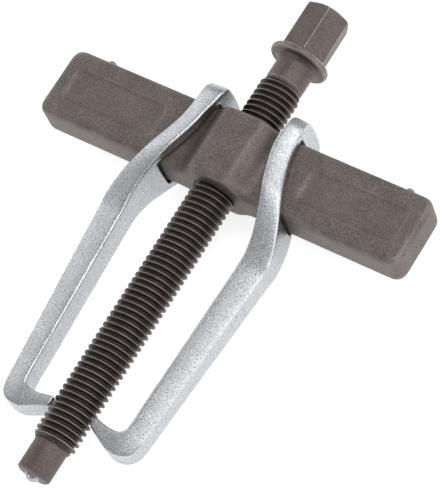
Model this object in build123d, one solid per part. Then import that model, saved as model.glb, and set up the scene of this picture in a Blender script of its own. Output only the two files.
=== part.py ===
from build123d import *
from math import cos, floor, radians, tan
import os

# Two-jaw gear puller. A forged crossbar carries two sliding hooked jaws and, through its threaded
# hub, a forcing screw with a hexagon head and a loose ball in its point. A spring plunger near each
# end of the crossbar keeps the jaws from sliding off.
#
# Working frame: X along the crossbar, Y along the screw towards its hexagon, Z out of the front
# face, with the crossbar's centre at the origin. The last lines move each piece into the part's own
# frame. All sizes are in millimetres.

# Crossbar
bar_length = 129.0
bar_width = 24.0
bar_thickness = 12.0
bar_edge_radius = 1.6
bar_corner_radius = 3.5
hub_front_height = 11.5
hub_back_height = 9.8
hub_flat_width = 13.0
hub_foot_width = 23.2
hub_shoulder_radius = 3.0
hub_foot_radius = 5.0

# Shallow panel sunk into each wing of the crossbar, front and back
panel_length = 33.0
panel_width = 11.4
panel_depth = 0.6
panel_corner_radius = 2.5
panel_end_margin = 5.2

# Thread of the screw and of the hub, a metric M14 x 2
thread_diameter = 13.75
thread_pitch = 2.0
thread_depth = 1.2
thread_crest_width = 0.25
thread_flank_angle = 30.0
thread_play = 0.15
thread_sink = 0.15

# Forcing screw: lengths along its axis, from the thread's upper end
thread_top = 27.6
thread_length = 130.3
shank_diameter = 12.4
shank_length = 9.3
collar_diameter = 19.5
collar_thickness = 2.3
collar_rim_radius = 0.9
collar_fillet = 1.2
hexagon_across_flats = 14.0
hexagon_height = 17.8
hexagon_turn = 17.5
hexagon_dome_height = 1.5
point_diameter = 10.7
point_length = 10.2
point_chamfer = 0.8

# Loose ball in the screw's point
ball_diameter = 5.0
ball_proud = 1.75
ball_play = 0.1

# Jaw: reach is measured along the crossbar from the hook's tip, height along the screw
hook_reach = 10.7
hook_face_drop = 89.5
hook_height = 7.9
hook_tip_drop = 2.4
hook_tip_radius = 0.9
hook_foot_setback = 1.2
hook_foot_rise = 1.6
hook_inner_radius = 3.0
hook_outer_radius = 5.5
arm_foot_width = 6.0
knee_drop = 27.0
knee_reach = 13.5
knee_width = 8.8
bridge_reach = 4.7
bridge_width = 6.2
bridge_height = 3.9
strap_thickness = 4.3
strap_bevel_width = 3.6
strap_bevel_depth = 3.2
bridge_corner_radius = 3.5
window_end_clearance = 0.5
window_side_clearance = 0.6
window_corner_radius = 1.2
window_mouth_relief = 1.2
shoulder_drop = 9.0
shoulder_length = 22.0
shoulder_radius = 6.0
arm_depth_at_knee = 9.8
arm_depth_at_hook = 8.7
arm_outer_depth_loss = 1.0
hook_depth_loss = 1.0

# How the jaws stand: gap from the screw's axis to each hook's tip, and the angle by which both lean
# in the play of their windows, with their hooks towards the back
jaw_gap_left = 7.1
jaw_gap_right = 7.5
jaw_droop = 1.4

# Spring plunger pressed into the crossbar near each end
stop_inset = 10.7
sleeve_diameter = 6.0
sleeve_length = 12.0
sleeve_floor = 0.8
sleeve_bore_diameter = 4.4
sleeve_rim_thickness = 0.9
sleeve_press_gap = 0.01
pin_diameter = 3.5
pin_proud = 2.5
pin_running_clearance = 0.05
pin_flange_diameter = 4.2
pin_flange_thickness = 0.9
spring_wire_diameter = 0.45
spring_turns = 6
spring_side_clearance = 0.1

# Sizes that follow from the ones above
bar_half_width = bar_width / 2
bar_half_thickness = bar_thickness / 2
thread_crest_radius = thread_diameter / 2
thread_root_radius = thread_crest_radius - thread_depth
thread_foot = thread_top - thread_length
point_end = thread_foot - point_length
collar_foot = thread_top + shank_length
hexagon_foot = collar_foot + collar_thickness
screw_top = hexagon_foot + hexagon_height
screw_end = point_end - ball_proud
window_half_width = bar_half_width + window_end_clearance
window_half_depth = bar_half_thickness + window_side_clearance
jaw_half_depth = window_half_depth + strap_thickness
loop_top = window_half_width + bridge_height
stop_offset = bar_length / 2 - stop_inset
sleeve_radius = sleeve_diameter / 2

along_screw = Rot(-90, 0, 0)


def ridge(base_radius, base_width, top_radius, top_width, length):
    """Helical ridge about +Z from Z = 0, with a trapezoid section between two radii."""
    path = Helix(pitch=thread_pitch, height=length, radius=base_radius)
    section_plane = Plane(origin=path @ 0, x_dir=(1, 0, 0), z_dir=path % 0)
    rise = top_radius - base_radius
    corners = [(0, -base_width / 2), (rise, -top_width / 2), (rise, top_width / 2), (0, base_width / 2)]
    section = make_face(Polyline(*corners, close=True))
    return sweep(section_plane * section, path=path, is_frenet=True)


def ridge_width(radius):
    """Width of the screw's thread ridge at a radius."""
    return thread_crest_width + 2 * (thread_crest_radius - radius) * tan(radians(thread_flank_angle))


def hub_thread_width(radius):
    """Width of the hub's thread ridge at a radius, with the play on both flanks."""
    return thread_pitch - ridge_width(radius) - 2 * thread_play


# ---------------------------------------------------------------- crossbar
def bar_outline():
    """Crossbar seen along the screw: two flat wings and a raised hub with soft shoulders."""
    half = bar_length / 2
    foot = hub_foot_width / 2
    flat = hub_flat_width / 2
    side = bar_half_thickness
    upper = [(-half, side), (-foot, side), (-flat, hub_front_height)]
    upper += [(-x, z) for x, z in reversed(upper)]
    lower = [(half, -side), (foot, -side), (flat, -hub_back_height)]
    lower += [(-x, z) for x, z in reversed(lower)]
    outline = make_face(Polyline(*upper, *lower, close=True))
    feet = [v for v in outline.vertices() if abs(abs(v.X) - hub_foot_width / 2) < 1e-6]
    outline = fillet(feet, hub_foot_radius)
    shoulders = [v for v in outline.vertices() if abs(abs(v.X) - hub_flat_width / 2) < 1e-6]
    return fillet(shoulders, hub_shoulder_radius)


def wing_panels():
    """The four shallow panels: one in the front and the back of each wing."""
    centre = bar_length / 2 - panel_end_margin - panel_length / 2
    sunk = extrude(RectangleRounded(panel_length, panel_width, panel_corner_radius), panel_depth, both=True)
    return [Pos(x, 0, z) * sunk for x in (-centre, centre) for z in (-bar_half_thickness, bar_half_thickness)]


def hub_thread():
    """The hub's own thread, in mesh with the screw's: half a pitch along from its ridge."""
    wall_radius = thread_crest_radius + thread_play
    crest_radius = thread_root_radius + thread_play
    turns_below = floor((-bar_half_width - thread_foot) / thread_pitch) - 1
    start = thread_foot + (turns_below + 0.5) * thread_pitch
    base_radius = wall_radius + thread_sink
    base_width = hub_thread_width(wall_radius)
    turning = ridge(base_radius, base_width, crest_radius, hub_thread_width(crest_radius),
                    bar_width + 3 * thread_pitch)
    turning = along_screw * Pos(0, 0, start) * turning
    return turning & Box(bar_width, bar_width, bar_width)


def crossbar():
    blank = extrude(Plane.XZ * bar_outline(), bar_half_width, both=True)
    ends = [e for e in blank.edges().filter_by(Axis.Z) if abs(abs(e.center().X) - bar_length / 2) < 1e-6]
    blank = fillet(ends, bar_corner_radius)
    blank = fillet(blank.edges().filter_by(Axis.Z, reverse=True).filter_by(
        lambda e: not on_flank(e)), bar_edge_radius)
    for panel in wing_panels():
        blank -= panel
    blank -= along_screw * Cylinder(thread_crest_radius + thread_play, bar_width)
    for side in (-1, 1):
        blank -= Pos(side * stop_offset, bar_half_width, 0) * stop_hole()
    return blank + hub_thread()


def on_flank(edge):
    """True for an edge along the screw, which stays as the outline made it."""
    middle = edge.center()
    return edge.geom_type == GeomType.LINE and abs(middle.Y) < 1e-6 and abs(middle.X) < hub_foot_width


def stop_hole():
    """Blind hole for a plunger's sleeve, open towards +Y at the origin."""
    depth = sleeve_length + 2 * sleeve_press_gap
    return along_screw * Cylinder(sleeve_radius, depth, align=(Align.CENTER, Align.CENTER, Align.MAX))


# ---------------------------------------------------------------- forcing screw and its ball
def hexagon():
    across_corners = hexagon_across_flats / cos(radians(30))
    prism = extrude(RegularPolygon(across_corners / 2, 6, rotation=hexagon_turn - 30), hexagon_height)
    dome_radius = (across_corners ** 2 / 4 + hexagon_dome_height ** 2) / (2 * hexagon_dome_height)
    dome = Pos(0, 0, hexagon_height - dome_radius) * Sphere(dome_radius)
    return prism & dome


def screw_profile():
    """Half section of the screw's turned parts below the hexagon: radius against height."""
    shank_radius = shank_diameter / 2
    point_radius = point_diameter / 2
    corners = [
        (0, point_end),
        (point_radius - point_chamfer, point_end),
        (point_radius, point_end + point_chamfer),
        (point_radius, thread_foot),
        (thread_root_radius, thread_foot + thread_depth),
        (thread_root_radius, thread_top),
        (shank_radius, thread_top + thread_depth),
        (shank_radius, collar_foot - collar_fillet),
        (shank_radius + collar_fillet, collar_foot),
        (collar_diameter / 2, collar_foot),
        (collar_diameter / 2, hexagon_foot),
        (0, hexagon_foot),
    ]
    return make_face(Polyline(*corners, close=True))


def thread_envelope():
    """What the thread is trimmed to: full height, with a chamfer at each end."""
    base = thread_root_radius - 2 * thread_sink
    corners = [
        (base, thread_foot),
        (thread_root_radius, thread_foot),
        (thread_crest_radius + thread_sink, thread_foot + thread_depth + thread_sink),
        (thread_crest_radius + thread_sink, thread_top - thread_depth - thread_sink),
        (thread_root_radius, thread_top),
        (base, thread_top),
    ]
    return revolve(Plane.XZ * make_face(Polyline(*corners, close=True)), Axis.Z)


def forcing_screw():
    profile = screw_profile()
    rim = [v for v in profile.vertices() if abs(v.X - collar_diameter / 2) < 1e-6]
    turned = revolve(Plane.XZ * fillet(rim, collar_rim_radius), Axis.Z)
    base_radius = thread_root_radius - thread_sink
    thread = ridge(base_radius, ridge_width(thread_root_radius), thread_crest_radius,
                   thread_crest_width, thread_length)
    thread = Pos(0, 0, thread_foot) * thread & thread_envelope()
    screw = turned + thread + Pos(0, 0, hexagon_foot) * hexagon()
    ball_centre = screw_end + ball_diameter / 2
    screw -= Pos(0, 0, ball_centre) * Sphere(ball_diameter / 2 + ball_play)
    return along_screw * screw


def tip_ball():
    return Pos(0, screw_end + ball_diameter / 2, 0) * Sphere(ball_diameter / 2)


# ---------------------------------------------------------------- jaws
def loop_inner(height):
    """Reach of the jaw's inner edge beside the crossbar: an S from the bridge out to the knee."""
    along = (loop_top - height) / (loop_top + knee_drop)
    step = min(max((along - 0.12) / 0.85, 0.0), 1.0)
    return bridge_reach + (knee_reach - bridge_reach) * step ** 2 * (3 - 2 * step)


def loop_outer(height):
    """Reach of the jaw's outer edge beside the crossbar: wider towards the knee."""
    along = (loop_top - height) / (loop_top + knee_drop)
    return loop_inner(height) + bridge_width + (knee_width - bridge_width) * along ** 2


def loop_edges(bevel):
    """Inner and outer edge of the loop from the bridge down to the knee, as two curves."""
    heights = [loop_top - (loop_top + knee_drop) * step / 6 for step in range(7)]
    inner = Spline(*[(loop_inner(h), h) for h in heights])
    outer = Spline(*[(loop_outer(h) - bevel, h) for h in heights])
    return inner, outer


def arm_corners():
    """Corners below the knee, from the arm's inner side round the hook to its outer side."""
    face = -hook_face_drop
    foot = face - hook_height
    return [
        (hook_reach, face),
        (0, face),
        (0, face - hook_tip_drop),
        (hook_reach - hook_foot_setback, foot),
        (hook_reach + arm_foot_width, foot + hook_foot_rise),
    ]


def jaw_outline():
    """Front view of the right-hand jaw: loop, straight arm and hook, with the hook's tip at X = 0."""
    inner, outer = loop_edges(0)
    corners = arm_corners()
    outline = make_face([inner, Polyline(inner @ 1, *corners, outer @ 1), outer, Line(inner @ 0, outer @ 0)])

    def near(corner):
        return outline.vertices().sort_by_distance((*corner, 0))[0]

    outline = fillet(near(corners[0]), hook_inner_radius)
    outline = fillet(near(corners[4]), hook_outer_radius)
    outline = fillet(near(corners[3]), hook_outer_radius)
    return fillet([near(corners[1]), near(corners[2])], hook_tip_radius)


def loop_outline(bevel):
    """Front view of the loop alone, run on down the arm's two sides to the shoulders' foot."""
    inner, outer = loop_edges(bevel)
    corners = arm_corners()
    foot = -shoulder_drop - shoulder_length - 1

    def down_to_foot(start, end):
        share = (start.Y - foot) / (start.Y - end[1])
        return (start.X + (end[0] - start.X) * share, foot)

    sides = [down_to_foot(inner @ 1, corners[0]), down_to_foot(outer @ 1, corners[4])]
    below = Polyline(inner @ 1, *sides, outer @ 1)
    return make_face([inner, below, outer, Line(inner @ 0, outer @ 0)])


def loop_body():
    """The loop in its full depth, its outer edges bevelled front and back."""
    core_half = jaw_half_depth - strap_bevel_depth
    core = extrude(loop_outline(0), core_half, both=True)
    front = loft([Pos(0, 0, core_half) * loop_outline(0),
                  Pos(0, 0, jaw_half_depth) * loop_outline(strap_bevel_width)], ruled=True)
    return core + front + mirror(front, Plane.XY)


def loop_block():
    """Side view of the loop and its shoulders, drawn across the whole jaw."""
    shoulder_foot = -shoulder_drop - shoulder_length
    half = [
        (loop_top, jaw_half_depth),
        (-shoulder_drop, jaw_half_depth),
        (shoulder_foot, arm_depth_at_knee / 2 - arm_outer_depth_loss / 2 - 1),
    ]
    outline = make_face(Polyline(*half, *[(y, -z) for y, z in reversed(half)], close=True))
    top = [v for v in outline.vertices() if abs(v.X - loop_top) < 1e-6]
    outline = fillet(top, bridge_corner_radius)
    shoulders = [v for v in outline.vertices() if abs(v.X + shoulder_drop) < 1e-6]
    outline = fillet(shoulders, shoulder_radius)
    return extrude(Plane.YZ * outline, 4 * hook_reach, both=True)


def arm_section(height, inner, width, depth):
    """Section of the arm: full depth on its inner side and over the hook, shallow outside."""
    half = depth / 2
    slope = arm_outer_depth_loss / 2 / width
    corners = [
        (inner - 3 * hook_reach, half),
        (inner, half),
        (inner + 1.5 * width, half - slope * 1.5 * width),
    ]
    outline = make_face(Polyline(*corners, *[(x, -z) for x, z in reversed(corners)], close=True))
    return Plane(origin=(0, height, 0), x_dir=(1, 0, 0), z_dir=(0, -1, 0)) * outline


def arm_block():
    """The arm's and the hook's depth, drawn across the whole jaw."""
    foot = -hook_face_drop - hook_height
    arm = loft([
        arm_section(-knee_drop + 4, knee_reach, knee_width, arm_depth_at_knee),
        arm_section(foot, hook_reach, arm_foot_width, arm_depth_at_hook),
    ], ruled=True)
    slope = hook_depth_loss / 2 / hook_height
    top_half = arm_depth_at_hook / 2 + slope * hook_face_drop
    side = [(0, top_half), (foot, arm_depth_at_hook / 2 - hook_depth_loss / 2)]
    wedge = make_face(Polyline(*side, *[(y, -z) for y, z in reversed(side)], close=True))
    return arm & extrude(Plane.YZ * wedge, 4 * hook_reach, both=True)


def window_cutter():
    """Window for the crossbar, wider front to back at its mouth beside the hub."""
    window = RectangleRounded(2 * window_half_width, 2 * window_half_depth, window_corner_radius)
    mouth_depth = window_half_depth + window_mouth_relief
    mouth_foot = bridge_reach + window_mouth_relief
    corners = [(0, mouth_depth + bridge_reach), (mouth_foot, window_half_depth)]
    mouth = make_face(Polyline(*corners, *[(x, -z) for x, z in reversed(corners)], close=True))
    mouth = extrude(Plane.XZ * mouth, window_half_width, both=True)
    return extrude(Plane.YZ * window, 4 * hook_reach, both=True) + mouth


def jaw():
    """Right-hand jaw with its hook's tip on the YZ plane."""
    arm = extrude(jaw_outline(), jaw_half_depth, both=True) & arm_block()
    body = arm + (loop_body() & loop_block())
    return body - window_cutter()


# ---------------------------------------------------------------- spring plungers
def stop_sleeve():
    """Cup of the plunger, with its mouth at Y = 0 and its floor below."""
    outer = sleeve_radius - sleeve_press_gap
    bore = sleeve_bore_diameter / 2
    mouth = pin_diameter / 2 + pin_running_clearance
    corners = [
        (0, -sleeve_length),
        (outer, -sleeve_length),
        (outer, 0),
        (mouth, 0),
        (mouth, -sleeve_rim_thickness),
        (bore, -sleeve_rim_thickness),
        (bore, sleeve_floor - sleeve_length),
        (0, sleeve_floor - sleeve_length),
    ]
    return along_screw * revolve(Plane.XZ * make_face(Polyline(*corners, close=True)), Axis.Z)


pin_foot = -sleeve_rim_thickness - pin_running_clearance - pin_flange_thickness


def stop_pin():
    """Domed pin of the plunger, its flange held under the sleeve's rim."""
    radius = pin_diameter / 2
    flange = Cylinder(pin_flange_diameter / 2, pin_flange_thickness,
                      align=(Align.CENTER, Align.CENTER, Align.MIN))
    stem = Cylinder(radius, pin_proud - radius - pin_foot, align=(Align.CENTER, Align.CENTER, Align.MIN))
    dome = Pos(0, 0, pin_proud - radius) * Sphere(radius)
    return along_screw * (Pos(0, 0, pin_foot) * (flange + stem) + dome)


def stop_spring():
    """Coil spring between the sleeve's floor and the pin."""
    wire_radius = spring_wire_diameter / 2
    coil_radius = sleeve_bore_diameter / 2 - spring_side_clearance - wire_radius
    floor_height = sleeve_floor - sleeve_length
    height = pin_foot - floor_height - spring_wire_diameter - 2 * pin_running_clearance
    path = Helix(pitch=height / spring_turns, height=height, radius=coil_radius)
    section = Plane(origin=path @ 0, x_dir=(1, 0, 0), z_dir=path % 0) * Circle(wire_radius)
    coil = sweep(section, path=path, is_frenet=True)
    return along_screw * Pos(0, 0, floor_height + wire_radius + pin_running_clearance) * coil


# ---------------------------------------------------------------- assembly
droop = Rot(jaw_droop, 0, 0)
right_jaw = droop * Pos(jaw_gap_right, 0, 0) * jaw()
left_jaw = droop * mirror(Pos(jaw_gap_left, 0, 0) * jaw(), Plane.YZ)
pieces = {
    "crossbar": crossbar(),
    "forcing_screw": forcing_screw(),
    "tip_ball": tip_ball(),
    "jaw_right": right_jaw,
    "jaw_left": left_jaw,
}
for side, name in ((-1, "left"), (1, "right")):
    seat = Pos(side * stop_offset, bar_half_width, 0)
    pieces["stop_sleeve_" + name] = seat * stop_sleeve()
    pieces["stop_pin_" + name] = seat * stop_pin()
    pieces["stop_spring_" + name] = seat * stop_spring()

# The part's own frame: the puller lies on its back, with the origin under the middle of its outline
lowest = min(piece.bounding_box().min.Z for piece in (left_jaw, right_jaw))
to_part_frame = Pos(0, -(screw_top + screw_end) / 2, -lowest)
os.makedirs("parts", exist_ok=True)
for name, piece in pieces.items():
    export_step(to_part_frame * piece, "parts/" + name + ".step")
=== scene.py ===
from math import asin, cos, degrees, pi, radians, sin, tan

import bmesh
import bpy
from mathutils import Matrix, Vector


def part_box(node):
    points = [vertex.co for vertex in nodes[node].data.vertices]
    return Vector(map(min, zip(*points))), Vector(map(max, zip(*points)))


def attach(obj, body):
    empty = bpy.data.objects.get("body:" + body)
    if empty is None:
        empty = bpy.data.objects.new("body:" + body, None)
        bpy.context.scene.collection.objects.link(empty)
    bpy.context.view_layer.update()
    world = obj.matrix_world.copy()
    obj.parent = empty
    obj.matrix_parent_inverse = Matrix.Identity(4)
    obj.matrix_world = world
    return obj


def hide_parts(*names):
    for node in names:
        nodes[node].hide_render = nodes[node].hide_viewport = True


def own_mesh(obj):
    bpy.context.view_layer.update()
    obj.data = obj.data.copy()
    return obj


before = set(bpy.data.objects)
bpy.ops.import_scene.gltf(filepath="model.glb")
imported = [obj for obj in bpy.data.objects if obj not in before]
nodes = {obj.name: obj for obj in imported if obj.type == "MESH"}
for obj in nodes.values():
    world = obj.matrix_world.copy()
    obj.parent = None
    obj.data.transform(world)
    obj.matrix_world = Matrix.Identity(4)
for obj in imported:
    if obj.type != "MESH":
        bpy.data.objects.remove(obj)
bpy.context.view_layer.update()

# ---- Camera
# A long lens stands over the front of the puller, to its right and a little below its crossbar,
# and is rolled so that the forcing screw runs up to the right.
camera_place = Vector((0.34341, -0.22610, 0.68378))
camera_aim = Vector((0.01071, 0.00341, 0.01110))
camera_up = Vector((-0.37385, 0.80553, 0.45974))
lens_length = 196.6
sensor_width = 36.0
farthest_view = 20.0

backward = (camera_place - camera_aim).normalized()
rightward = camera_up.cross(backward).normalized()
upward = backward.cross(rightward)
turn = Matrix((rightward, upward, backward)).transposed().to_4x4()
camera_data = bpy.data.cameras.new("camera")
camera_data.lens = lens_length
camera_data.sensor_width = sensor_width
camera_data.clip_end = farthest_view
camera = bpy.data.objects.new("camera", camera_data)
camera.matrix_world = Matrix.Translation(camera_place) @ turn
bpy.context.scene.collection.objects.link(camera)
bpy.context.scene.camera = camera
bpy.context.scene.view_settings.view_transform = "Standard"

# ---- Floor
# A large white sheet under the puller. It shows pure white to the camera and in bright metal, and
# keeps a soft shadow, while the light it throws back up is that of grey paper.
floor_size = 6.0
floor_gap = 0.0002
floor_glow = 0.80
floor_grey = (0.62, 0.62, 0.63, 1.0)


def wired(tree, kind, inputs=None, **settings):
    """A new node of a kind. Each input, by name or place, is a value or another node's output."""
    node = tree.nodes.new(kind)
    for name, value in settings.items():
        setattr(node, name, value)
    for name, source in (inputs or {}).items():
        if isinstance(source, bpy.types.NodeSocket):
            tree.links.new(source, node.inputs[name])
        else:
            node.inputs[name].default_value = source
    return node


def maths(tree, operation, *values):
    """The result of a maths node on numbers or outputs."""
    return wired(tree, "ShaderNodeMath", dict(enumerate(values)), operation=operation).outputs[0]


def add_object(name, mesh):
    piece = bpy.data.objects.new(name, mesh)
    bpy.context.scene.collection.objects.link(piece)
    return piece


def white_paint():
    """Grey paper that glows white to the rays that the camera and shiny metal send out."""
    paint = bpy.data.materials.new("white_sheet")
    paint.use_nodes = True
    tree = paint.node_tree
    tree.nodes.clear()
    ray = wired(tree, "ShaderNodeLightPath")
    seen = maths(tree, "MAXIMUM", ray.outputs["Is Camera Ray"], ray.outputs["Is Glossy Ray"])
    clear = maths(tree, "MAXIMUM", seen, ray.outputs["Is Transmission Ray"])
    paper = wired(tree, "ShaderNodeBsdfDiffuse", {"Color": floor_grey})
    glow = wired(tree, "ShaderNodeEmission", {"Strength": maths(tree, "MULTIPLY", clear, floor_glow)})
    both = wired(tree, "ShaderNodeAddShader", {0: paper.outputs[0], 1: glow.outputs[0]})
    wired(tree, "ShaderNodeOutputMaterial", {"Surface": both.outputs[0]})
    return paint


def floor_sheet():
    mesh = bpy.data.meshes.new("floor")
    half = floor_size / 2
    corners = [(-half, -half), (half, -half), (half, half), (-half, half)]
    mesh.from_pydata([(x, y, -floor_gap) for x, y in corners], [], [(0, 1, 2, 3)])
    mesh.materials.append(white_paint())
    add_object("floor", mesh)


floor_sheet()

# ---- Light
# A plain studio: an even grey sky and soft boxes high over the right, low on the right, low on the
# left and low in front, which draw the light lines along the rounded edges.
sky_level = 0.50
subject = Vector((0.0, 0.0, 0.012))


def soft_box(name, direction, distance, width, height, power):
    """A lamp with a lit rectangle that faces the puller from a direction."""
    lamp = bpy.data.lights.new(name, "AREA")
    lamp.shape = "RECTANGLE"
    lamp.size = width
    lamp.size_y = height
    lamp.energy = power
    box = bpy.data.objects.new(name, lamp)
    place = subject + Vector(direction).normalized() * distance
    aim = (place - subject).to_track_quat("Z", "Y").to_matrix().to_4x4()
    box.matrix_world = Matrix.Translation(place) @ aim
    bpy.context.scene.collection.objects.link(box)


soft_box("light_high", (0.26, 0.30, 0.92), distance=1.2, width=0.5, height=0.5, power=3.3)
soft_box("light_right", (0.82, 0.20, 0.54), distance=1.2, width=1.2, height=0.8, power=4.5)
soft_box("light_left", (-0.82, 0.29, 0.49), distance=1.2, width=0.7, height=0.6, power=1.8)
soft_box("light_front", (-0.42, -0.84, 0.27), distance=1.1, width=0.5, height=0.25, power=0.9)

sky = bpy.data.worlds.new("sky")
sky.use_nodes = True
sky_background = sky.node_tree.nodes["Background"]
sky_background.inputs["Color"].default_value = (1.0, 1.0, 1.0, 1.0)
sky_background.inputs["Strength"].default_value = sky_level
bpy.context.scene.world = sky

# ---- Crossbar
# A steel forging with a raised hub, blasted to a fine grain and phosphated to a grey-brown skin,
# worn bright along its edges, which are also painted paler as a highlight. The jaws slide along its wings.
fine_detail = 3.0
fine_roughness = 0.7
broad_detail = 4.0
grains_per_blotch = 16
blotch_low = 0.3
blotch_high = 0.7
# How the edges pale: partly real wear, partly a painted highlight along the rounded edges.
wear_and_sheen_start = 0.35
wear_and_sheen_full = 1.3
wear_and_sheen_patch_gain = 0.8
wear_and_sheen_patch_shift = -0.3
roughness_swing = 0.08
weld_distance = 1e-7
bore_blend = 0.001
waves_per_metre = 70.0
wave_detail = 1.0
bar_bore_radius = 0.0075

screw_low, screw_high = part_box("forcing_screw")
screw_height = (screw_low.z + screw_high.z) / 2


def ranged(tree, value, low, high, start=0.0, end=1.0):
    """A value's place between low and high, as a number that goes from start to end."""
    return wired(tree, "ShaderNodeMapRange", {0: value, 1: low, 2: high, 3: start, 4: end}).outputs[0]


def scaled(tree, vector, factor):
    """A vector or colour times a number."""
    return wired(tree, "ShaderNodeVectorMath", {0: vector, "Scale": factor}, operation="SCALE").outputs[0]


def grained_steel(name, colour, dark, pale, wear_and_sheen_colour, roughness, metallic, grain, bump, wear_and_sheen=1.0,
                  cloud=0.12, spread=0.21):
    """Blasted steel: fine grain in its colour and relief, soft blotches, paler worn edges and a painted
    edge highlight.
    """
    paint = bpy.data.materials.new(name)
    paint.use_nodes = True
    tree = paint.node_tree
    shader = tree.nodes["Principled BSDF"]
    place = wired(tree, "ShaderNodeTexCoord").outputs["Object"]
    fine = wired(tree, "ShaderNodeTexNoise",
                 {"Vector": place, "Scale": grain, "Detail": fine_detail,
                  "Roughness": fine_roughness}).outputs[0]
    broad = wired(tree, "ShaderNodeTexNoise",
                  {"Vector": place, "Scale": grain / grains_per_blotch,
                   "Detail": broad_detail}).outputs[0]
    tone = wired(tree, "ShaderNodeValToRGB", {0: fine})
    tone.color_ramp.elements[0].position = 0.5 - spread
    tone.color_ramp.elements[0].color = (*dark, 1.0)
    tone.color_ramp.elements[1].position = 0.5 + spread
    tone.color_ramp.elements[1].color = (*pale, 1.0)
    tone.color_ramp.elements.new(0.5).color = (*colour, 1.0)
    blotch = ranged(tree, broad, blotch_low, blotch_high, 1 - cloud, 1 + cloud)
    skin = scaled(tree, tone.outputs[0], blotch)
    # Paler edges by the edge mark: partly worn metal, partly a painted highlight on the rounded edges.
    edge = wired(tree, "ShaderNodeAttribute", attribute_name="edge").outputs["Fac"]
    patchy = maths(tree, "MULTIPLY_ADD", broad, wear_and_sheen_patch_gain, wear_and_sheen_patch_shift)
    worn_and_sheen = ranged(tree, maths(tree, "ADD", edge, patchy), wear_and_sheen_start, wear_and_sheen_full, 0.0, wear_and_sheen)
    mixed = wired(tree, "ShaderNodeMix", {0: worn_and_sheen, 6: skin, 7: (*wear_and_sheen_colour, 1.0)}, data_type="RGBA")
    tree.links.new(mixed.outputs[2], shader.inputs["Base Color"])
    shader.inputs["Metallic"].default_value = metallic
    rough = ranged(tree, fine, 0.0, 1.0, roughness - roughness_swing, roughness + roughness_swing)
    tree.links.new(rough, shader.inputs["Roughness"])
    relief = wired(tree, "ShaderNodeBump", {"Strength": 1.0, "Distance": bump, "Height": fine})
    tree.links.new(relief.outputs[0], shader.inputs["Normal"])
    return paint


def geometry_tree(name, inputs):
    """A new geometry nodes tree with inputs of the kinds given, and the outputs that carry them."""
    tree = bpy.data.node_groups.new(name, "GeometryNodeTree")
    for label, kind in inputs.items():
        tree.interface.new_socket(label, in_out="INPUT", socket_type="NodeSocket" + kind)
    tree.interface.new_socket("Geometry", in_out="OUTPUT", socket_type="NodeSocketGeometry")
    return tree, tree.nodes.new("NodeGroupInput").outputs


def mark_edges(tree, geometry, strength):
    """The geometry with how far each point counts as an edge, by which the steels pale as wear and as a
    painted highlight.
    """
    return wired(tree, "GeometryNodeStoreNamedAttribute",
                 {"Geometry": geometry, "Name": "edge", "Value": strength},
                 data_type="FLOAT", domain="POINT").outputs[0]


def end_tree(tree, geometry, paint):
    """Ends a tree with its geometry made real and given its material."""
    real = wired(tree, "GeometryNodeRealizeInstances", {"Geometry": geometry})
    painted = wired(tree, "GeometryNodeSetMaterial", {"Geometry": real.outputs[0], "Material": paint})
    tree.links.new(painted.outputs[0], tree.nodes.new("NodeGroupOutput").inputs[0])
    return tree


def softening_nodes():
    """Geometry nodes that round a forging's edges, keep its threaded bore, and mark its edges."""
    tree, given = geometry_tree("soften_forging", {
        "Geometry": "Geometry", "Rounds": "Int", "Edge height": "Float", "Bore radius": "Float",
        "Axis height": "Float", "Waviness": "Float", "Paint": "Material"})
    place = wired(tree, "GeometryNodeInputPosition").outputs[0]
    normal = wired(tree, "GeometryNodeInputNormal").outputs[0]
    blurred = wired(tree, "GeometryNodeBlurAttribute", data_type="FLOAT_VECTOR")
    for socket in blurred.inputs:
        if socket.name == "Value" and socket.type == "VECTOR":
            tree.links.new(place, socket)
    tree.links.new(given["Rounds"], blurred.inputs["Iterations"])
    soft_place = next(socket for socket in blurred.outputs if socket.type == "VECTOR")
    step = wired(tree, "ShaderNodeVectorMath", {0: soft_place, 1: place}, operation="SUBTRACT").outputs[0]
    inward = wired(tree, "ShaderNodeVectorMath", {0: step, 1: normal}, operation="DOT_PRODUCT")
    edge = maths(tree, "DIVIDE", maths(tree, "MULTIPLY", inward.outputs["Value"], -1.0),
                 given["Edge height"])
    axes = wired(tree, "ShaderNodeSeparateXYZ", {0: place}).outputs
    lift = maths(tree, "SUBTRACT", axes[2], given["Axis height"])
    away = maths(tree, "SQRT", maths(tree, "ADD", maths(tree, "MULTIPLY", axes[0], axes[0]),
                                     maths(tree, "MULTIPLY", lift, lift)))
    share = ranged(tree, maths(tree, "SUBTRACT", away, given["Bore radius"]), 0.0, bore_blend)
    wave = wired(tree, "ShaderNodeTexNoise", {"Vector": place, "Scale": waves_per_metre,
                                              "Detail": wave_detail})
    dip = maths(tree, "MULTIPLY", maths(tree, "MULTIPLY", wave.outputs[0], -1.0), given["Waviness"])
    hollow = scaled(tree, normal, dip)
    both = wired(tree, "ShaderNodeVectorMath", {0: step, 1: hollow}, operation="ADD").outputs[0]
    moved = wired(tree, "GeometryNodeSetPosition", {
        "Geometry": mark_edges(tree, given["Geometry"], edge), "Offset": scaled(tree, both, share)})
    return end_tree(tree, moved.outputs[0], given["Paint"])


soften_forging = softening_nodes()


def set_inputs(modifier, values):
    """Sets a geometry nodes modifier's inputs, given here by their names."""
    for socket in modifier.node_group.interface.items_tree:
        if socket.name in values and socket.in_out == "INPUT":
            modifier[socket.identifier] = values[socket.name]


def settled(piece):
    """The piece with its modifiers worked into its mesh."""
    graph = bpy.context.evaluated_depsgraph_get()
    mesh = bpy.data.meshes.new_from_object(piece.evaluated_get(graph), preserve_all_data_layers=True,
                                           depsgraph=graph)
    piece.modifiers.clear()
    piece.data = mesh
    mesh.shade_smooth()
    return piece


def add_even_faces(piece, cell):
    """A modifier that builds a closed piece again in even faces of a size."""
    even = piece.modifiers.new("even", "REMESH")
    even.mode = "VOXEL"
    even.voxel_size = cell


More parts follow.
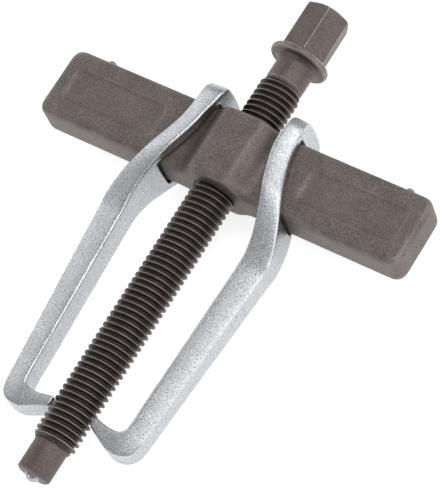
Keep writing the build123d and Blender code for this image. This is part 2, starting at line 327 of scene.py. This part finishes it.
def softened(piece, paint, cell, rounds, edge_height, bore_radius=0.0, axis_height=0.0, waviness=0.0):
    """The piece in even small faces, with its edges rounded as a forging's are, in its material."""
    add_even_faces(piece, cell)
    soften = piece.modifiers.new("soften", "NODES")
    soften.node_group = soften_forging
    set_inputs(soften, {"Rounds": rounds, "Edge height": edge_height, "Bore radius": bore_radius,
                        "Axis height": axis_height, "Waviness": waviness, "Paint": paint})
    return settled(piece)


def cut_below(shape, height):
    """Takes away what a closed shape has below a height along the screw, and caps the cut."""
    everything = shape.verts[:] + shape.edges[:] + shape.faces[:]
    bmesh.ops.bisect_plane(shape, geom=everything, plane_co=(0.0, height, 0.0),
                           plane_no=(0.0, 1.0, 0.0), clear_inner=True)
    bmesh.ops.holes_fill(shape, edges=[edge for edge in shape.edges if edge.is_boundary])


def forging_from(node, name, low=None):
    """A welded copy of a CAD node, or of its stretch above low."""
    mesh = bpy.data.meshes.new(name)
    shape = bmesh.new()
    shape.from_mesh(nodes[node].data)
    bmesh.ops.remove_doubles(shape, verts=shape.verts, dist=weld_distance)
    bmesh.ops.recalc_face_normals(shape, faces=shape.faces)
    if low is not None:
        cut_below(shape, low)
    shape.to_mesh(mesh)
    shape.free()
    return add_object(name, mesh)


# The paler edge colour on the bar is partly wear and partly a painted highlight on its rounded edges.
bar_steel = grained_steel(
    "bar_steel", colour=(0.158, 0.132, 0.122), dark=(0.070, 0.054, 0.048), pale=(0.275, 0.238, 0.222),
    wear_and_sheen_colour=(0.40, 0.37, 0.35), roughness=0.46, metallic=0.55, grain=2600.0, bump=0.00008, wear_and_sheen=0.55)
bar = softened(forging_from("crossbar", "crossbar_forging"), bar_steel, cell=0.0004, rounds=8,
               edge_height=0.00022, bore_radius=bar_bore_radius, axis_height=screw_height,
               waviness=0.00005)
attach(bar, "beam")
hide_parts("crossbar")

# ---- Forcing screw
# A turned screw with a rolled M14 x 2 thread, a collar, a forged hexagon and a plain point. It is
# phosphated nearly black, and the thread's crests are polished bright by use.
thread_pitch = 0.002
thread_depth = 0.0012
thread_radius = 0.006875
flank_angle = radians(30.0)
crest_width = 0.00025
crest_round = 0.0001
root_round = 0.0003
foot_cone_radius = 0.0055
foot_cone_slope = 0.75
top_cone_radius = 0.0062
top_cone_slope = 0.5
worn_to_depth = 0.00022
fully_worn_depth = 0.00002
turn_weld = 0.000004
steps_per_turn = 48
steps_across = 16
point_length = 0.0102
point_radius = 0.00535
point_chamfer = 0.0007
chamfer_ease = 0.0001
chamfer_run = 0.0004
ball_play = 0.0001
thread_length = 0.1303
thread_foot = screw_low.y + point_length
thread_top = thread_foot + thread_length
point_lap = 0.0001
head_lap = 0.0002
round_sides = 96
near_pole = 89.0
arc_steps = 20
sharp_angle = radians(35.0)


def thread_nodes():
    """Geometry nodes that lay a strip with the thread's section along a helix."""
    sizes = ("Low end", "High end", "Low radius", "High radius", "Radius", "Depth", "Pitch",
             "Crest width", "Axis height")
    tree, given = geometry_tree("rolled_thread", {**dict.fromkeys(sizes, "Float"), "Paint": "Material"})
    length = maths(tree, "SUBTRACT", given["High end"], given["Low end"])
    turns = maths(tree, "ADD", maths(tree, "CEIL", maths(tree, "DIVIDE", length, given["Pitch"])), 1.0)
    along = maths(tree, "MULTIPLY_ADD", turns, steps_per_turn, 1.0)
    strip = wired(tree, "GeometryNodeMeshGrid", {"Size X": 1.0, "Size Y": 1.0, "Vertices X": along,
                                                 "Vertices Y": steps_across + 1}).outputs[0]
    place = wired(tree, "GeometryNodeInputPosition").outputs[0]
    flat = wired(tree, "ShaderNodeSeparateXYZ", {0: place}).outputs
    turn_count = maths(tree, "MULTIPLY_ADD", maths(tree, "ADD", flat[0], 0.5), turns, -0.5)
    aside = maths(tree, "MULTIPLY", flat[1], given["Pitch"])
    rise = maths(tree, "MULTIPLY_ADD", turn_count, given["Pitch"], aside)
    below = maths(tree, "MULTIPLY", maths(tree, "LESS_THAN", rise, 0.0),
                  maths(tree, "GREATER_THAN", aside, 0.0))
    above = maths(tree, "MULTIPLY", maths(tree, "GREATER_THAN", rise, length),
                  maths(tree, "LESS_THAN", aside, 0.0))
    trimmed = wired(tree, "GeometryNodeDeleteGeometry",
                    {"Geometry": strip, "Selection": maths(tree, "ADD", below, above)}, domain="FACE")
    height = maths(tree, "MINIMUM", maths(tree, "ADD", rise, given["Low end"]), given["High end"])
    height = maths(tree, "MAXIMUM", height, given["Low end"])
    from_crest = maths(tree, "SUBTRACT", maths(tree, "ABSOLUTE", aside),
                       maths(tree, "MULTIPLY", given["Crest width"], 0.5))
    flank = maths(tree, "DIVIDE", from_crest, tan(flank_angle))
    sunk = maths(tree, "SMOOTH_MIN", flank, given["Depth"], root_round)
    sunk = maths(tree, "SMOOTH_MAX", sunk, 0.0, crest_round)
    low_cone = maths(tree, "MULTIPLY_ADD", maths(tree, "SUBTRACT", height, given["Low end"]),
                     foot_cone_slope, given["Low radius"])
    high_cone = maths(tree, "MULTIPLY_ADD", maths(tree, "SUBTRACT", given["High end"], height),
                      top_cone_slope, given["High radius"])
    full = maths(tree, "SUBTRACT", given["Radius"], sunk)
    radius = maths(tree, "MINIMUM", full, maths(tree, "MINIMUM", low_cone, high_cone))
    angle = maths(tree, "MULTIPLY", turn_count, 2 * pi)
    across = maths(tree, "MULTIPLY", radius, maths(tree, "COSINE", angle))
    downward = maths(tree, "MULTIPLY", maths(tree, "SINE", angle), -1.0)
    up = maths(tree, "MULTIPLY_ADD", radius, downward, given["Axis height"])
    wound = wired(tree, "ShaderNodeCombineXYZ", {0: across, 1: height, 2: up}).outputs[0]
    crest = ranged(tree, sunk, worn_to_depth, fully_worn_depth)
    laid = wired(tree, "GeometryNodeSetPosition", {
        "Geometry": mark_edges(tree, trimmed.outputs[0], crest), "Position": wound})
    joined = wired(tree, "GeometryNodeMergeByDistance",
                   {"Geometry": laid.outputs[0], "Distance": turn_weld})
    return end_tree(tree, joined.outputs[0], given["Paint"])


def thread_piece(name, low, high, paint):
    """The thread from one height along the screw to another."""
    piece = add_object(name, bpy.data.meshes.new(name))
    thread = piece.modifiers.new("thread", "NODES")
    thread.node_group = thread_nodes()
    set_inputs(thread, {"Low end": low, "High end": high, "Low radius": foot_cone_radius,
                        "High radius": top_cone_radius, "Radius": thread_radius,
                        "Depth": thread_depth, "Pitch": thread_pitch, "Crest width": crest_width,
                        "Axis height": screw_height, "Paint": paint})
    return settled(piece)


def closed_object(name, points, faces, in_triangles=False):
    """An object from a closed surface's points and faces, with its faces turned outwards."""
    mesh = bpy.data.meshes.new(name)
    mesh.from_pydata(points, [], faces)
    shape = bmesh.new()
    shape.from_mesh(mesh)
    if in_triangles:
        bmesh.ops.triangulate(shape, faces=shape.faces)
    bmesh.ops.recalc_face_normals(shape, faces=shape.faces)
    shape.to_mesh(mesh)
    shape.free()
    mesh.shade_smooth()
    return add_object(name, mesh)


def skinned(name, rings):
    """A skin over rings of points that follow each other, with the first and last ring capped."""
    count = len(rings[0])
    points = [point for ring in rings for point in ring]
    faces = []
    for low in range(0, len(points) - count, count):
        for step in range(count):
            after = (step + 1) % count
            faces.append((low + step, low + count + step, low + count + after, low + after))
    faces.append(tuple(range(count)))
    faces.append(tuple(reversed(range(len(points) - count, len(points)))))
    return closed_object(name, points, faces)


def turned(name, x, profile):
    """A body of revolution about an axis along Y, from (height, radius) points along its wall."""
    angles = [2 * pi * side / round_sides for side in range(round_sides)]
    return skinned(name, [
        [(x + radius * cos(angle), height, screw_height - radius * sin(angle)) for angle in angles]
        for height, radius in profile])


def arc_profile(centre, radius, start, end, steps):
    """(height, radius) points of a round about a centre on the axis, from start to end degrees. A
    round stops at near_pole, where its ring is small enough to cap."""
    points = []
    for step in range(steps + 1):
        angle = radians(start + (end - start) * step / steps)
        points.append((centre + radius * sin(angle), radius * cos(angle)))
    return points


def creased(piece):
    """The piece with its clear edges kept sharp in its shading."""
    piece.data.set_sharp_from_angle(angle=sharp_angle)
    return piece


def finish(piece, paint):
    piece.data.materials.clear()
    piece.data.materials.append(paint)


def point_forging(name):
    """The screw's plain point: the ball's socket from its crown to its mouth, the end, the side."""
    ball_low, ball_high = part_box("tip_ball")
    ball_centre = (ball_low.y + ball_high.y) / 2
    socket_radius = (ball_high.y - ball_low.y) / 2 + ball_play
    mouth_angle = degrees(asin((screw_low.y - ball_centre) / socket_radius))
    end_radius = point_radius - point_chamfer
    chamfer_top = screw_low.y + point_chamfer
    socket = arc_profile(ball_centre, socket_radius, near_pole, mouth_angle, arc_steps)
    return creased(turned(name, 0.0, socket + [
        (screw_low.y, end_radius - chamfer_run),
        (screw_low.y + chamfer_ease, end_radius),
        (chamfer_top - chamfer_ease, point_radius - chamfer_ease),
        (chamfer_top + chamfer_run - chamfer_ease, point_radius),
        (thread_foot + point_lap, point_radius)]))


screw_steel = grained_steel(
    "screw_steel", colour=(0.128, 0.103, 0.095), dark=(0.062, 0.047, 0.042), pale=(0.225, 0.188, 0.175),
    wear_and_sheen_colour=(0.50, 0.45, 0.42), roughness=0.44, metallic=0.60, grain=3000.0, bump=0.00006)
thread_steel = grained_steel(
    "thread_steel", colour=(0.056, 0.042, 0.037), dark=(0.028, 0.020, 0.017), pale=(0.098, 0.076, 0.068),
    wear_and_sheen_colour=(0.30, 0.26, 0.24), roughness=0.40, metallic=0.60, grain=3000.0, bump=0.00004)
screw_thread = thread_piece("screw_thread", thread_foot, thread_top, thread_steel)
screw_head = softened(forging_from("forcing_screw", "screw_head", low=thread_top - head_lap), screw_steel,
                      cell=0.00025, rounds=4, edge_height=0.00006, axis_height=screw_height)
screw_point = point_forging("screw_point")
finish(screw_point, screw_steel)
for piece in (screw_thread, screw_head, screw_point):
    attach(piece, "screw")
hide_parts("forcing_screw")

# ---- Tip ball
# A hardened steel ball, polished bright and held loosely in a socket in the screw's point, so that
# the point doesn't turn on the shaft that it pushes against.
bright_steel = grained_steel(
    "bright_steel", colour=(0.38, 0.38, 0.39), dark=(0.32, 0.32, 0.33), pale=(0.44, 0.44, 0.45),
    wear_and_sheen_colour=(0.55, 0.55, 0.56), roughness=0.20, metallic=1.0, grain=2400.0, bump=0.000003)
ball_low, ball_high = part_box("tip_ball")
ball_radius = (ball_high.y - ball_low.y) / 2
ball_round = arc_profile(ball_low.y + ball_radius, ball_radius, -near_pole, near_pole, 2 * arc_steps)
ball = turned("ball", 0.0, ball_round)
finish(ball, bright_steel)
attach(ball, "screw_tip")
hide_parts("tip_ball")

# ---- Jaws
# Two alike forgings, blasted and plated to a bright grey speckle. Each has a window through which
# the crossbar passes, a deep arm and a hook that grips behind the gear. Their crowned faces fall
# away towards the outside, and both lean back a little in the play of their windows.
loop_top = 0.0164
knee = -0.0270
bridge_reach = 0.0047
bridge_width = 0.0062
bridge_round = 0.0035
bridge_arch = 0.0012
bridge_rise = 0.0012
bridge_lean = {"left": -0.0016, "right": 0.0008}
lean_start = 0.0060
bend_start = 0.12
bend_share = 0.85
knee_reach = 0.0135
knee_width = 0.0088
hook_face = -0.0895
hook_foot = -0.0974
hook_reach = 0.0107
hook_thinning = 0.0006
foot_width = 0.0060
armpit_round = 0.0030
grip_drop = 0.0009
grip_start = 0.0050
grip_round = 0.0015
tip_growth = 0.0001
tip_rise = 0.0003
tip_drop = 0.0030
tip_round = 0.0007
sole_start = 0.0012
sole_round = 0.0026
heel_rise = 0.0016
heel_round = 0.0044
strap_depth = 0.0108
strap_crown = 0.0015
shoulder_top = -0.0060
shoulder_foot = -0.0300
shoulder_straightness = 0.4
arm_depth_at_knee = 0.0050
arm_depth_at_foot = 0.0044
arm_crown = 0.0012
crown_power = 1.6
window_half_width = 0.0125
window_half_depth = 0.0066
window_relief = 0.0012
window_end = 0.04
loop_steps = 14
corner_steps = 6
blank_cell = 0.0005
jaw_gaps = {"left": 0.0071, "right": 0.0075}
jaw_droop = radians(1.4)
bar_low, bar_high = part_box("crossbar")
bar_centre = (bar_low.y + bar_high.y) / 2


def held(share):
    """A share kept between 0 and 1."""
    return min(max(share, 0.0), 1.0)


def eased(share):
    """A share kept between 0 and 1, with a soft start and a soft end."""
    return held(share) ** 2 * (3 - 2 * held(share))


def down_the_loop(height):
    """How far a height lies down the loop round the crossbar: 0 at its top, 1 at the knee."""
    return (loop_top - height) / (loop_top - knee)


def jaw_edges(height):
    """Reach of the jaw's inner and outer edge at a height: an S from the bridge out to the knee,
    then a straight arm."""
    if height >= knee:
        along = down_the_loop(height)
        inner = bridge_reach + (knee_reach - bridge_reach) * eased((along - bend_start) / bend_share)
        return inner, inner + bridge_width + (knee_width - bridge_width) * along ** 2
    down = (knee - height) / (knee - hook_face)
    inner = knee_reach + (hook_reach - knee_reach) * down
    return inner, inner + knee_width + (foot_width - knee_width) * down


def rounded(corners):
    """Points of an outline whose corners, given as (x, y, round), are cut to smooth curves."""
    points = []
    for place, (x, y, size) in enumerate(corners):
        corner = Vector((x, y))
        before = Vector(corners[place - 1][:2]) - corner
        after = Vector(corners[(place + 1) % len(corners)][:2]) - corner
        start = corner + before.normalized() * size
        end = corner + after.normalized() * size
        steps = corner_steps if size else 0
        for step in range(steps + 1):
            share = step / steps if steps else 0.0
            points.append(start * (1 - share) ** 2 + corner * 2 * share * (1 - share) + end * share ** 2)
    return points


def jaw_outline():
    """Front view of the right-hand jaw, with its hook's tip at x = 0."""
    heights = [loop_top + (knee - loop_top) * step / loop_steps for step in range(loop_steps + 1)]
    inner = [(jaw_edges(height)[0], height, 0.0) for height in heights]
    outer = [(jaw_edges(height)[1], height, 0.0) for height in reversed(heights)]
    hook = [
        (hook_reach, hook_face - grip_drop, armpit_round),
        (grip_start, hook_face - grip_drop, grip_round),
        (-tip_growth, hook_face + tip_rise, tip_round),
        (-tip_growth, hook_face - tip_drop, tip_round),
        (hook_reach - sole_start, hook_foot, sole_round),
        (hook_reach + foot_width, hook_foot + heel_rise, heel_round),
    ]
    return rounded(inner + hook + outer)


def jaw_depth(reach, height):
    """Half depth of the jaw: deep loop, straight shoulders, shallower arm, crowned all along."""
    inner, outer = jaw_edges(height)
    aside = held((reach - inner) / (outer - inner))
    down = held((knee - height) / (knee - hook_foot))
    arm = arm_depth_at_knee + (arm_depth_at_foot - arm_depth_at_knee) * down
    share = held((shoulder_top - height) / (shoulder_top - shoulder_foot))
    share = share * shoulder_straightness + eased(share) * (1 - shoulder_straightness)
    depth = strap_depth + (arm - strap_depth) * share
    depth -= (strap_crown + (arm_crown - strap_crown) * share) * aside ** crown_power
    over = height - (loop_top - bridge_round)
    if over > 0:
        depth -= bridge_round - max(bridge_round ** 2 - over ** 2, 0.0) ** 0.5
    under = max(hook_face - height, 0.0) / (hook_face - hook_foot)
    return depth - hook_thinning * under ** 2


def prism(name, outline, low, high, place):
    """A closed prism over an outline, with place(x, y, height) giving each point."""
    count = len(outline)
    points = [place(x, y, height) for height in (low, high) for x, y in outline]
    faces = [(step, (step + 1) % count, count + (step + 1) % count, count + step) for step in range(count)]
    faces += [tuple(range(count)), tuple(range(count, 2 * count))]
    return closed_object(name, points, faces, in_triangles=True)


def window_cutter():
    """The window for the crossbar, eased at its mouth beside the hub."""
    mouth = bridge_reach + window_relief
    far = window_half_depth + mouth
    outline = [(0.0, far), (mouth, window_half_depth), (window_end, window_half_depth),
               (window_end, -window_half_depth), (mouth, -window_half_depth), (0.0, -far)]
    return prism("window", outline, -window_half_width, window_half_width, lambda x, z, y: (x, y, z))


def arch_bridge(jaw, lean):
    """Raises the jaw's bridge to an arch above the window, and leans its inner edge sideways."""
    for vertex in jaw.data.vertices:
        x, y, z = vertex.co
        inner, outer = jaw_edges(y)
        inward = held((outer - x) / (outer - inner))
        above = max(y - window_half_width, 0.0) / (loop_top - window_half_width)
        vertex.co.y += above * (bridge_rise + bridge_arch * (1 - (z / strap_depth) ** 2))
        vertex.co.x += lean * inward * eased((y - lean_start) / (loop_top - lean_start))


def jaw_forging(name, side, paint):
    """One jaw as it stands: blank from its outline and depth, window cut through, edges softened."""
    jaw = prism(name, jaw_outline(), -strap_depth, strap_depth, lambda x, y, z: (x, y, z))
    add_even_faces(jaw, blank_cell)
    settled(jaw)
    for vertex in jaw.data.vertices:
        x, y, z = vertex.co
        vertex.co.z = z / strap_depth * jaw_depth(x, y)
    cutter = window_cutter()
    window = jaw.modifiers.new("window", "BOOLEAN")
    window.operation = "DIFFERENCE"
    window.object = cutter
    softened(jaw, paint, cell=0.00032, rounds=4, edge_height=0.00012, waviness=0.00004)
    bpy.data.objects.remove(cutter)
    arch_bridge(jaw, bridge_lean[side])
    across = 1.0 if side == "right" else -1.0
    stance = Matrix.Translation((0.0, bar_centre, screw_height)) @ Matrix.Rotation(jaw_droop, 4, "X")
    hand = Matrix.Diagonal((across, 1.0, 1.0, 1.0)) @ Matrix.Translation((jaw_gaps[side], 0.0, 0.0))
    jaw.data.transform(stance @ hand)
    if across < 0:
        jaw.data.flip_normals()
    return jaw


# The near-white edge colour is partly wear and partly a painted highlight along the jaws' edges and
# creases.
jaw_steel = grained_steel(
    "jaw_steel", colour=(0.49, 0.50, 0.52), dark=(0.22, 0.23, 0.25), pale=(0.76, 0.77, 0.79),
    wear_and_sheen_colour=(0.88, 0.89, 0.90), roughness=0.28, metallic=1.0, grain=3400.0, bump=0.00008,
    wear_and_sheen=0.50, cloud=0.05, spread=0.17)
for side in ("left", "right"):
    jaw = jaw_forging("jaw_forging_" + side, side, jaw_steel)
    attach(jaw, side + "_jaw")
    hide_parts("jaw_" + side)

# ---- End stops
# A spring plunger near each end of the crossbar: a pressed-in steel sleeve, a coil spring, and a
# domed pin that the jaw has to push down before it can slide off.
sleeve_length = 0.0120
sleeve_radius = 0.00299
sleeve_floor = 0.0008
sleeve_bore = 0.0022
sleeve_mouth = 0.0018
sleeve_rim = 0.0009
sleeve_bevel = 0.0002
pin_radius = 0.00175
pin_proud = 0.0025
pin_play = 0.00005
flange_radius = 0.0021
flange_thickness = 0.0009
wire_radius = 0.000225
wire_sides = 12
spring_turns = 6
steps_per_coil = 24
coil_play = 0.0001
coil_radius = sleeve_bore - coil_play - wire_radius
pin_foot = bar_high.y - sleeve_rim - pin_play - flange_thickness
spring_seat = bar_high.y - sleeve_length + sleeve_floor


def sleeve(name, x):
    """The plunger's cup, from its floor, up outside, over its rim and down its bore."""
    foot, rim = bar_high.y - sleeve_length, bar_high.y
    return creased(turned(name, x, [
        (foot, sleeve_radius - sleeve_bevel), (foot + sleeve_bevel, sleeve_radius),
        (rim - sleeve_bevel, sleeve_radius), (rim, sleeve_radius - sleeve_bevel),
        (rim, sleeve_mouth + sleeve_bevel), (rim - sleeve_bevel, sleeve_mouth),
        (rim - sleeve_rim, sleeve_mouth), (rim - sleeve_rim, sleeve_bore), (spring_seat, sleeve_bore)]))


def domed_pin(name, x):
    """The plunger's pin: a flange that the sleeve's rim holds back, and a domed shank."""
    dome_centre = bar_high.y + pin_proud - pin_radius
    dome = arc_profile(dome_centre, pin_radius, 0.0, near_pole, arc_steps)
    return creased(turned(name, x, [
        (pin_foot, flange_radius), (pin_foot + flange_thickness, flange_radius),
        (pin_foot + flange_thickness, pin_radius)] + dome))


def coil_spring(name, x):
    """A round wire wound between the sleeve's floor and the pin's flange."""
    low = spring_seat + pin_play + wire_radius
    high = pin_foot - pin_play - wire_radius
    steps = steps_per_coil * spring_turns
    round_wire = [2 * pi * side / wire_sides for side in range(wire_sides)]
    rings = []
    for step in range(steps + 1):
        angle = 2 * pi * spring_turns * step / steps
        outward = Vector((cos(angle), 0.0, sin(angle)))
        centre = Vector((x, low + (high - low) * step / steps, screw_height)) + outward * coil_radius
        rings.append([centre + wire_radius * (outward * cos(turn) + Vector((0.0, sin(turn), 0.0)))
                      for turn in round_wire])
    return skinned(name, rings)


sleeve_steel = grained_steel(
    "sleeve_steel", colour=(0.42, 0.41, 0.40), dark=(0.34, 0.33, 0.32), pale=(0.50, 0.49, 0.48),
    wear_and_sheen_colour=(0.6, 0.6, 0.6), roughness=0.30, metallic=1.0, grain=2400.0, bump=0.00001)
for side in ("left", "right"):
    pin_low, pin_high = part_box("stop_pin_" + side)
    x = (pin_low.x + pin_high.x) / 2
    cup = sleeve("plunger_sleeve_" + side, x)
    pin = domed_pin("plunger_pin_" + side, x)
    spring = coil_spring("plunger_spring_" + side, x)
    for piece, node, body, paint, slot in (
            (cup, "stop_sleeve_", "beam", sleeve_steel, "sleeve_steel"),
            (pin, "stop_pin_", side + "_stop", bright_steel, "bright_steel"),
            (spring, "stop_spring_", "beam", sleeve_steel, "spring_steel")):
        finish(piece, paint)
        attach(piece, body)
        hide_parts(node + side)
    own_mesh(spring)
